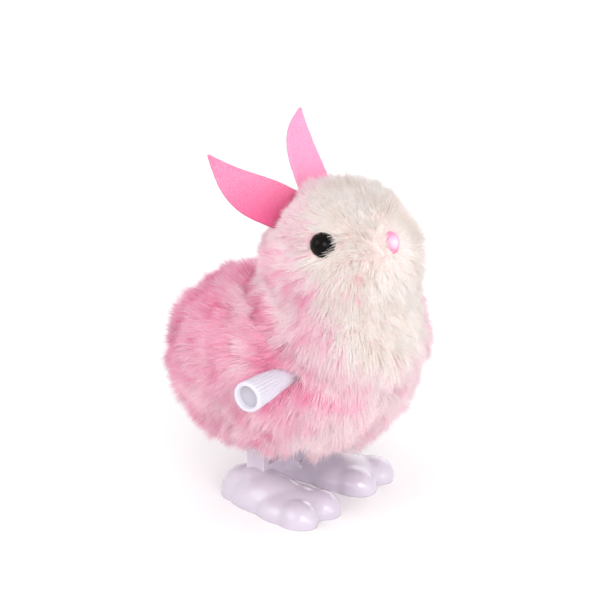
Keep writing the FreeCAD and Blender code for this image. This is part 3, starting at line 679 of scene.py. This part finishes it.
def strand_mesh(name, path, normals, radius, shade):
    """Closed three-sided strands that taper to a point, as one mesh."""
    count, steps, _ = path.shape
    rings = steps - 1
    heading = unit(path[:, -1, :] - path[:, 0, :])
    across = unit(np.cross(heading, normals + 0.01))
    other = np.cross(heading, across)
    turn = np.arange(3) * 2 * math.pi / 3
    ring = (
        across[:, None, :] * np.cos(turn)[None, :, None]
        + other[:, None, :] * np.sin(turn)[None, :, None]
    )
    taper = 1 - 0.55 * np.linspace(0, 1, rings, endpoint=False) ** 1.3
    size = radius[:, None] * taper[None, :]
    tube = path[:, :rings, None, :] + ring[:, None, :, :] * size[:, :, None, None]
    verts = np.concatenate([tube.reshape(count, rings * 3, 3), path[:, -1:, :]], 1)
    each = rings * 3 + 1

    faces, sizes, step_of = [], [], []
    faces.append([2, 1, 0])
    sizes.append(3)
    step_of.append(0)
    for step in range(rings - 1):
        for corner in range(3):
            a = step * 3 + corner
            b = step * 3 + (corner + 1) % 3
            faces.append([a, b, b + 3, a + 3])
            sizes.append(4)
            step_of.append(step)
    for corner in range(3):
        faces.append([(rings - 1) * 3 + corner, (rings - 1) * 3 + (corner + 1) % 3, rings * 3])
        sizes.append(3)
        step_of.append(rings - 1)
    flat = np.array([index for face in faces for index in face])
    loops = (np.arange(count)[:, None] * each + flat[None, :]).ravel()
    sizes = np.tile(np.array(sizes), count)
    starts = np.concatenate([[0], np.cumsum(sizes)[:-1]])
    material = shade[:, np.array(step_of)].ravel()

    mesh = bpy.data.meshes.new(name)
    mesh.vertices.add(count * each)
    mesh.vertices.foreach_set("co", (verts * MM).astype(np.float32).ravel())
    mesh.loops.add(len(loops))
    mesh.loops.foreach_set("vertex_index", loops.astype(np.int32))
    mesh.polygons.add(len(sizes))
    mesh.polygons.foreach_set("loop_start", starts.astype(np.int32))
    for material_used in HAIRS:
        mesh.materials.append(material_used)
    mesh.polygons.foreach_set("material_index", material.astype(np.int32))
    mesh.update(calc_edges=True)
    mesh.shade_smooth()
    # The pile is lit as one soft surface: each strand's normals lean to the skin's.
    outward = np.concatenate([
        np.repeat(ring[:, None, :, :], rings, 1).reshape(count, rings * 3, 3),
        heading[:, None, :],
    ], 1)
    soft = unit(0.35 * outward + 0.65 * normals[:, None, :] + 0.35 * heading[:, None, :])
    mesh.normals_split_custom_set_from_vertices(soft.reshape(-1, 3).astype(np.float32))
    return new_object(name, mesh)


# The most strands that each region may have, and the points along each. The candidates are spread
# over the whole skin, and too few of them fall on the head, so it gets about 53,000.
STRANDS = {"body": (100000, 5), "head": (84000, 4)}
PIECE_STRANDS = {"body": 9000, "head": 12000}
GUIDES = 9000
SPARE_POINTS = 2.0  # scattered for each strand that is wanted


def make_fur():
    """The whole pile, in pieces of a size that stays whole when it is written out."""
    density = 1.0
    guides, guide_normals = scatter(GUIDES)
    for region, (wanted, steps) in STRANDS.items():
        guide_path = grow(guides, guide_normals, steps)
        points, normals = scatter(int(wanted * density * SPARE_POINTS))
        head = share_of_head(points)
        mine = head > 0.5 if region == "head" else head <= 0.5
        points, normals, head = points[mine], normals[mine], head[mine]
        path = grow(points, normals, steps)
        strength = (0.30 - 0.14 * head) * rng.uniform(0.1, 1.3, len(points))
        path = gather(path, guides, guide_path, strength)
        path, keep = keep_clear(path)
        numbers = np.nonzero(keep)[0][: int(wanted * density)]
        shade = shades(points, steps)
        radius = (0.058 - 0.010 * head) * rng.uniform(0.7, 1.2, len(points))
        radius = radius / math.sqrt(density)
        around = np.arctan2(points[numbers, 0] - MID_X, points[numbers, 1] - HEAD[1])
        numbers = numbers[np.argsort(around, kind="stable")]
        groups = math.ceil(len(numbers) / PIECE_STRANDS[region])
        for number, group in enumerate(np.array_split(numbers, groups), start=1):
            name = f"{region}_fur_{number:02d}"
            made = strand_mesh(name, path[group], normals[group], radius[group], shade[group])
            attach(made, RIDES)


# ------------------------------------------------------------------ felt ears


def ear_half_width(share):
    """Half the leaf's width from seam to tip, as a share of the widest."""
    rise = 0.96 + 0.04 * np.sin(np.clip(share / 0.36, 0, 1) * math.pi / 2)
    fall = np.clip((share - 0.18) / 0.82, 0, 1)
    body = rise * (1 - fall**2.1)
    tip = 0.12 * np.sqrt(np.clip(1 - ((share - 0.91) / 0.09).clip(0, 1) ** 2, 0, 1))
    return np.maximum(body, tip)


EAR_THICK = 1.0
EAR_HALF_WIDTH = 5.15
EAR_GRID = (56, 24)  # rows from seam to tip, and columns across
EAR_CURL = {
    "right": {"root": 0.7, "belly": 1.9, "bow": 0.4, "cup": 0.5, "lift": 0.6},
    "left": {"root": 1.1, "belly": 1.7, "bow": 0.3, "cup": 0.5, "lift": 0.4},
}


def make_ear(side, felt):
    """A leaf of felt with rounded edges, curved a little sideways, lengthwise and across."""
    seam, along, across, facing, length = ear_frame(side)
    curl = EAR_CURL[side]
    rows, columns = EAR_GRID
    thick, half = EAR_THICK, EAR_HALF_WIDTH
    shares = np.linspace(0, 1, rows)
    widths = half * ear_half_width(shares)
    verts = []
    for face in (1, -1):
        for share, width in zip(shares, widths):
            for column in range(columns + 1):
                x = -1 + 2 * column / columns
                rounding = 0.5 + 0.5 * math.sqrt(max(0.0, 1 - abs(x) ** 8))
                rounding *= min(1, (1 - share) * 18 + 0.45)
                sway = -curl["belly"] * math.sin(math.pi * share**1.35)
                sway += curl["root"] * (1 - share) ** 2
                bow = curl["bow"] * math.sin(share * math.pi) * 1.3
                cup = curl["cup"] * (x * x) * (1 - 0.5 * share) * 1.1
                lift = curl["lift"] * share**3 * 2.0
                point = (
                    seam
                    + along * (share * length)
                    + across * (x * width + sway)
                    + facing * (bow + cup + lift + face * thick / 2 * rounding)
                )
                verts.append(point)
    per_face = rows * (columns + 1)
    faces = []
    for row in range(rows - 1):
        for column in range(columns):
            a = row * (columns + 1) + column
            quad = [a, a + 1, a + columns + 2, a + columns + 1]
            faces.append(quad)
            faces.append([per_face + index for index in reversed(quad)])
    rim = list(range(columns + 1))
    rim += [row * (columns + 1) + columns for row in range(1, rows)]
    rim += [(rows - 1) * (columns + 1) + column for column in range(columns - 1, -1, -1)]
    rim += [row * (columns + 1) for row in range(rows - 2, 0, -1)]
    for a, b in zip(rim, rim[1:] + rim[:1]):
        faces.append([b, a, per_face + a, per_face + b])
    mesh = bpy.data.meshes.new(f"{side}_ear")
    points = np.array(verts)
    nap = 0.03 * Waves(1.6, 71)(points)
    signs = np.where(np.arange(len(points)) < per_face, 1, -1)
    points = points + facing * (nap * signs)[:, None]
    mesh.from_pydata([tuple(p * MM) for p in points], [], faces)
    mesh.update()
    shape = bmesh.new()
    shape.from_mesh(mesh)
    bmesh.ops.remove_doubles(shape, verts=shape.verts, dist=0.00002)
    bmesh.ops.recalc_face_normals(shape, faces=shape.faces)
    shape.to_mesh(mesh)
    shape.free()
    mesh.shade_smooth()
    ear = new_object(f"{side}_ear", mesh)
    ear.data.materials.append(felt)
    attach(ear, RIDES)
    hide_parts(f"{side}_ear_felt")


# ------------------------------------------------------------------ beads


def join_rings(shape, rings, segments):
    """Skins each ring of corners to the next. A ring of one corner closes an end."""
    for near, far in zip(rings, rings[1:]):
        for step in range(segments):
            after = (step + 1) % segments
            if len(near) == 1:
                shape.faces.new([near[0], far[after], far[step]])
            elif len(far) == 1:
                shape.faces.new([near[step], near[after], far[0]])
            else:
                shape.faces.new([near[step], near[after], far[after], far[step]])
    bmesh.ops.recalc_face_normals(shape, faces=shape.faces)


def lathe(name, profile, centre, axis, segments):
    """A closed turned piece: profile is (along the axis, radius) from one end to the other."""
    axis = Vector(axis).normalized()
    side = axis.orthogonal().normalized()
    up = axis.cross(side)
    shape = bmesh.new()
    rings = []
    for along, radius in profile:
        if radius < 1e-6:
            rings.append([shape.verts.new((Vector(centre) + axis * along) * MM)])
            continue
        ring = []
        for step in range(segments):
            turn = 2 * math.pi * step / segments
            out = side * math.cos(turn) + up * math.sin(turn)
            ring.append(shape.verts.new((Vector(centre) + axis * along + out * radius) * MM))
        rings.append(ring)
    join_rings(shape, rings, segments)
    mesh = bpy.data.meshes.new(name)
    shape.to_mesh(mesh)
    shape.free()
    mesh.shade_smooth()
    return new_object(name, mesh)


def make_eye(side, centre, gloss):
    """A polished half bead on a thin flange, pressed into the face."""
    outward = unit(centre - HEAD)
    dome = [
        (EYE_RADIUS * math.sin(a), EYE_RADIUS * math.cos(a))
        for a in np.linspace(math.radians(-20), math.radians(90), 26)
    ]
    dome[-1] = (EYE_RADIUS, 0.0)
    back = [(-2.3, 0.0), (-2.3, 0.8), (-1.35, 0.85), (-1.3, EYE_RADIUS - 0.2),
            (-1.15, EYE_RADIUS - 0.05)]
    eye = lathe(f"{side}_eye_bead", back + dome, centre, outward, 72)
    eye.data.materials.append(gloss)
    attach(eye, RIDES)
    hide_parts(f"{side}_eye")


def make_nose(gloss):
    """An oval bead, a little flattened in front."""
    outward = unit(NOSE - HEAD)
    steps = np.linspace(math.radians(-90), math.radians(90), 32)
    profile = [(1.6 * math.sin(a) * (0.9 if a > 0 else 1.0), 1.95 * math.cos(a)) for a in steps]
    profile[0] = (profile[0][0], 0.0)
    profile[-1] = (profile[-1][0], 0.0)
    nose = lathe("nose", profile, (0, 0, 0), outward, 64)
    low, high = box_mm("nose_bead")
    tall = (high[2] - low[2]) / (high[0] - low[0])
    for vert in nose.data.vertices:
        vert.co.z *= tall
        vert.co += Vector(NOSE) * MM
    nose.data.materials.append(gloss)
    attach(nose, RIDES)
    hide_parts("nose_bead")


def eye_gloss():
    material, tree, shader = new_material("black_bead")
    noise_colour(tree, shader, 700, 3, [(0.3, linear(6, 4, 3)), (0.75, linear(12, 8, 7))])
    vary_roughness(tree, shader, 900, 0.08, 0.2)
    set_surface(shader, Specular_IOR_Level=0.1)
    return material


def nose_gloss():
    """Satin pink with a painted highlight: a paler spot in front."""
    material = plastic("pink_bead", linear(232, 118, 162), linear(242, 148, 184), 0.3, 0.02, 0.2,
                       0.2)
    # The painted highlight centres in front of the bead, a little to the lamps' side.
    front = (NOSE + 1.5 * unit(NOSE - HEAD) + [-0.5, 0, 0]) * MM
    painted_highlight(material, front, 0.3 * MM, 1.9 * MM, linear(252, 208, 224))
    return material


def painted_highlight(material, centre, low, high, pale):
    """A painted highlight: the colour turns paler nearer to one point of the bead."""
    tree = material.node_tree
    shader = tree.nodes["Principled BSDF"]
    tinted = shader.inputs["Base Color"].links[0].from_socket
    coords = tree.nodes.new("ShaderNodeTexCoord")
    gap = tree.nodes.new("ShaderNodeVectorMath")
    gap.operation = "DISTANCE"
    gap.inputs[1].default_value = centre
    share = tree.nodes.new("ShaderNodeMapRange")
    share.inputs["From Min"].default_value = low
    share.inputs["From Max"].default_value = high
    tree.links.new(coords.outputs["Object"], gap.inputs[0])
    tree.links.new(gap.outputs["Value"], share.inputs["Value"])
    both = blend_colours(tree, share.outputs["Result"], pale, tinted)
    tree.links.new(both, shader.inputs["Base Color"])


# ------------------------------------------------------------------ knob


KNOB_GRIP = 8.5  # length of the ribbed part
KNOB_RIBS = 24
RIB_DEPTH = 0.17
RECESS_RADIUS = 2.4


def make_knob():
    """The tapered winding knob: fine ribs on its outer half; a shallow recess with painted shade.
    """
    length = KNOB_HIGH[0] - KNOB_LOW[0]
    grip = KNOB_GRIP
    segments = KNOB_RIBS * 8  # eight faces round each rib
    inner = KNOB_END - (KNOB_END - KNOB_NECK) * grip / length
    # Along from the outer end, radius, and share of the ribs' depth.
    profile = [
        (1.3, 0.0, 0.0), (1.3, 2.25, 0.0), (1.15, 2.42, 0.0), (0.12, 2.52, 0.0),
        (0.0, 2.66, 0.0), (-0.02, 2.95, 0.0), (0.08, KNOB_END - 0.18, 0.05),
        (0.3, KNOB_END - 0.03, 0.5), (0.7, KNOB_END, 1.0),
    ]
    for step in range(1, 9):
        along = 0.7 + (grip - 1.5) * step / 8
        profile.append((along, KNOB_END + (inner - KNOB_END) * along / grip + 0.05, 1.0))
    profile += [
        (grip - 0.3, inner + 0.06, 0.7), (grip, inner + 0.02, 0.3),
        (grip + 0.3, inner - 0.08, 0.0), (grip + 1.0, inner - 0.14, 0.0),
        (length - 4, KNOB_NECK + 0.22, 0.0),
        (length - 0.3, KNOB_NECK, 0.0), (length, KNOB_NECK - 0.25, 0.0), (length, 0.0, 0.0),
    ]
    shape = bmesh.new()
    rings = []
    for along, radius, rib in profile:
        x = KNOB_LOW[0] + along
        if radius == 0.0:
            rings.append([shape.verts.new(Vector((x, KNOB[1], KNOB[2])) * MM)])
            continue
        ring = []
        for step in range(segments):
            turn = 2 * math.pi * step / segments
            wave = 0.5 + 0.5 * math.cos(turn * KNOB_RIBS)
            reach = radius - RIB_DEPTH * rib * (1 - wave) ** 2
            ring.append(shape.verts.new(Vector((
                x, KNOB[1] + reach * math.cos(turn), KNOB[2] + reach * math.sin(turn))) * MM))
        rings.append(ring)
    join_rings(shape, rings, segments)
    for face in shape.faces:
        middle_of_face = face.calc_center_median() / MM
        off_axis = math.hypot(middle_of_face.y - KNOB[1], middle_of_face.z - KNOB[2])
        in_recess = off_axis < RECESS_RADIUS and middle_of_face.x < KNOB_LOW[0] + 2
        face.material_index = 1 if in_recess else 0
    mesh = bpy.data.meshes.new("knob")
    shape.to_mesh(mesh)
    shape.free()
    mesh.shade_smooth()
    knob = new_object("knob", mesh)
    outside = plastic("knob_white", linear(201, 198, 210), linear(208, 205, 216), 0.34, 0.03, 0.1,
                      0.3)
    # Painted shade: the recess floor takes a darker plastic than the rest of the knob.
    recess = plastic("knob_recess", linear(178, 174, 184), linear(183, 179, 189), 0.5, 0.03)
    knob.data.materials.append(outside)
    knob.data.materials.append(recess)
    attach(knob, "winder")
    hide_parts("winding_knob")


# ------------------------------------------------------------------ feet


TOE_OUT = {"right": 6.5, "left": 3.0}  # degrees
ANKLE_SIDE = 9.4
ANKLE_BEHIND_BAR = 1.4
# The foot's rounded masses: middle from the ankle, and half sizes.
FOOT_LUMPS = [
    ((0, -3.0, 0.9), (6.6, 10.5, 6.2)),  # instep
    ((0, 3.6, 0.9), (5.1, 5.6, 6.2)),  # heel
    ((0, -9.6, 0.9), (7.8, 8.5, 4.6)),  # ball of the foot
    ((0, -11.0, 0.9), (6.4, 7.0, 4.5)),  # its lower front
    ((0, 0.0, 3.0), (4.2, 4.6, 5.0)),  # boss round the ankle
    ((0, -13.4, 0.9), (4.6, 4.7, 3.8)),  # filling between the toes
    ((-3.7, -14.6, 0.9), (4.1, 5.0, 4.2)),  # toe
    ((3.7, -14.6, 0.9), (4.1, 5.0, 4.2)),  # toe
]
FOOT_VOXEL = 0.30
FOOT_SMOOTHING = 55


def make_foot(side, sign, material):
    """A glossy moulded foot: domed instep, two round toes and a boss round the ankle."""
    ankle = np.array([MID_X + sign * ANKLE_SIDE, BAR[1] + ANKLE_BEHIND_BAR, 0.0])
    turn = Matrix.Rotation(math.radians(TOE_OUT[side] * sign), 4, "Z")
    shape = bmesh.new()
    for centre, half in FOOT_LUMPS:
        size = Matrix.Diagonal((*half, 1))
        bmesh.ops.create_icosphere(shape, subdivisions=4, radius=1,
                                   matrix=Matrix.Translation(centre) @ size)
    place = Matrix.Translation(ankle) @ turn
    bmesh.ops.transform(shape, matrix=Matrix.Scale(MM, 4) @ place, verts=shape.verts)
    mesh = bpy.data.meshes.new(f"{side}_foot_shell")
    shape.to_mesh(mesh)
    shape.free()
    foot = new_object(f"{side}_foot_shell", mesh)
    remesh = foot.modifiers.new("skin", "REMESH")
    remesh.mode = "VOXEL"
    remesh.voxel_size = FOOT_VOXEL * MM
    smooth = foot.modifiers.new("soften", "SMOOTH")
    smooth.factor = 0.5
    smooth.iterations = FOOT_SMOOTHING
    apply_modifiers(foot)
    shape = bmesh.new()
    shape.from_mesh(foot.data)
    cut = bmesh.ops.bisect_plane(shape, geom=shape.verts[:] + shape.edges[:] + shape.faces[:],
                                 plane_co=(0, 0, 0), plane_no=(0, 0, -1), clear_outer=True)
    edges = [e for e in cut["geom_cut"] if isinstance(e, bmesh.types.BMEdge)]
    bmesh.ops.contextual_create(shape, geom=edges)
    bmesh.ops.recalc_face_normals(shape, faces=shape.faces)
    shape.to_mesh(foot.data)
    shape.free()
    foot.data.shade_smooth()
    foot.data.materials.append(material)
    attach(foot, "legs")
    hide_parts(f"{side}_foot")


# ------------------------------------------------------------------ the clockwork's finishes


def dress_clockwork():
    case = plastic("case_plastic", linear(214, 212, 220), linear(230, 228, 234), 0.4)
    gear = plastic("gear_acetal", linear(228, 224, 212), linear(240, 238, 230), 0.35)
    leg = plastic("leg_plastic", linear(198, 186, 200), linear(206, 195, 209), 0.3, 0.02, 0.2, 0.3)
    wadding = felt_material("wadding", linear(250, 250, 248), linear(226, 226, 222))
    bright = steel("bright_steel", linear(190, 190, 194), linear(214, 214, 218), 0.25)
    blue = steel("spring_steel", linear(120, 124, 140), linear(160, 164, 176), 0.3)
    finishes = {
        "case_plastic": case, "gear_white": gear, "leg_white": leg, "wadding": wadding,
        "steel": bright, "spring_steel": blue,
    }
    slot_of = {part["node"]: part["material_slot"] for part in frame["record"]["subparts"]}
    for node, item in frame["nodes"].items():
        finish = finishes.get(slot_of[node])
        if finish:
            item.data.materials.clear()
            item.data.materials.append(finish)


# ------------------------------------------------------------------ studio


SURROUND = (1.0, 0.99, 0.99, 1)
FLOOR_PAPER = (0.9, 0.9, 0.9, 1)
# Name, place, size and power. The last is small, for a bright point on the beads and the feet.
LAMPS = [
    ("key", (-0.50, -0.60, 0.45), 0.5, 3.2),
    ("front", (-0.15, -0.85, 0.18), 0.5, 1.2),
    ("back", (-0.60, 0.35, 0.45), 0.6, 1.5),
    ("fill", (0.65, 0.15, 0.35), 0.6, 0.9),
    ("glint", (-0.75, -0.55, 0.55), 0.045, 0.3),
]
LAMP_TARGET = (0, 0, 0.04)


def add_lamp(name, place, size, power):
    light = bpy.data.lights.new(name, "AREA")
    light.shape = "DISK"
    light.size = size
    light.energy = power
    thing = bpy.data.objects.new(name, light)
    thing.location = place
    aim = Vector(LAMP_TARGET) - Vector(place)
    thing.rotation_euler = aim.to_track_quat("-Z", "Y").to_euler()
    bpy.context.scene.collection.objects.link(thing)


def make_studio():
    """A pale floor that fades into a bright soft surround, and the lamps."""
    floor_mesh = bpy.data.meshes.new("floor")
    shape = bmesh.new()
    bmesh.ops.create_grid(shape, x_segments=4, y_segments=4, size=3)
    shape.to_mesh(floor_mesh)
    shape.free()
    floor = new_object("floor", floor_mesh)
    # Near the toy the floor takes its shadow; further off it turns into the white surround.
    material, tree, shader = new_material("studio_floor")
    coords = tree.nodes.new("ShaderNodeTexCoord")
    distance = tree.nodes.new("ShaderNodeVectorMath")
    distance.operation = "LENGTH"
    tree.links.new(coords.outputs["Object"], distance.inputs[0])
    far = tree.nodes.new("ShaderNodeMapRange")
    far.interpolation_type = "SMOOTHSTEP"
    far.inputs["From Min"].default_value = 0.12
    far.inputs["From Max"].default_value = 0.5
    tree.links.new(distance.outputs["Value"], far.inputs["Value"])
    paper = blend_colours(tree, far.outputs["Result"], FLOOR_PAPER, (0.0, 0.0, 0.0, 1))
    tree.links.new(paper, shader.inputs["Base Color"])
    set_surface(shader, Roughness=0.9, Specular_IOR_Level=0.0, Emission_Color=SURROUND)
    tree.links.new(far.outputs["Result"], shader.inputs["Emission Strength"])
    floor.data.materials.append(material)

    world = bpy.data.worlds.new("studio")
    bpy.context.scene.world = world
    world.use_nodes = True
    sky = world.node_tree.nodes["Background"]
    sky.inputs["Color"].default_value = SURROUND
    sky.inputs["Strength"].default_value = 1.0
    for lamp in LAMPS:
        add_lamp(*lamp)


AZIMUTH = -55.5  # degrees from straight in front, towards the rabbit's right
ELEVATION = 22.5
DISTANCE = 1.0
HALF_VIEW = 0.0643  # half of what the camera takes in at the toy


def make_camera():
    """The view from the rabbit's front right, a little above."""
    azimuth, elevation, distance = math.radians(AZIMUTH), math.radians(ELEVATION), DISTANCE
    target = Vector((MID_X + 0.5, HEAD[1] + 10.5, 44.2)) * MM
    back = Vector((math.sin(azimuth) * math.cos(elevation),
                   -math.cos(azimuth) * math.cos(elevation), math.sin(elevation)))
    camera = bpy.data.cameras.new("camera")
    camera.angle = 2 * math.atan(HALF_VIEW / distance)
    camera.clip_start = 0.01
    thing = bpy.data.objects.new("camera", camera)
    thing.location = target + back * distance
    thing.rotation_euler = (-back).to_track_quat("-Z", "Y").to_euler()
    bpy.context.scene.collection.objects.link(thing)
    bpy.context.scene.camera = thing


# ------------------------------------------------------------------ the whole toy


def main():
    make_camera()
    make_studio()
    bpy.context.scene.view_settings.view_transform = "Standard"
    bpy.context.scene.cycles.diffuse_bounces = 8
    pelt = make_pelt()
    pelt.data.materials.clear()
    pelt.data.materials.append(pelt_material())
    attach(pelt, RIDES)
    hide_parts("body_pelt", "head_pelt")
    make_fur()
    # Each ear darkens to its sewn end, the near one most: partly deeper felt, partly painted shade
    # from the fur.
    near_felt = felt_material("pink_felt", linear(236, 148, 180), linear(222, 114, 152),
                              linear(216, 96, 138))
    # Painted light: the far ear's felt is a paler copy of the near ear's, as light falls on it
    # more.
    far_felt_painted_light = felt_material("pink_felt_painted_light", linear(244, 166, 200), linear(234, 140, 178),
                             linear(238, 146, 182))
    make_ear("right", near_felt)
    make_ear("left", far_felt_painted_light)
    black_gloss = eye_gloss()
    for side, centre in zip(("right", "left"), EYES):
        make_eye(side, centre, black_gloss)
    make_nose(nose_gloss())
    make_knob()
    foot_plastic = plastic("foot_plastic", linear(196, 186, 200), linear(203, 194, 207), 0.2,
                           0.015, 0.5, 0.3)
    make_foot("right", -1, foot_plastic)
    make_foot("left", 1, foot_plastic)
    dress_clockwork()


main()
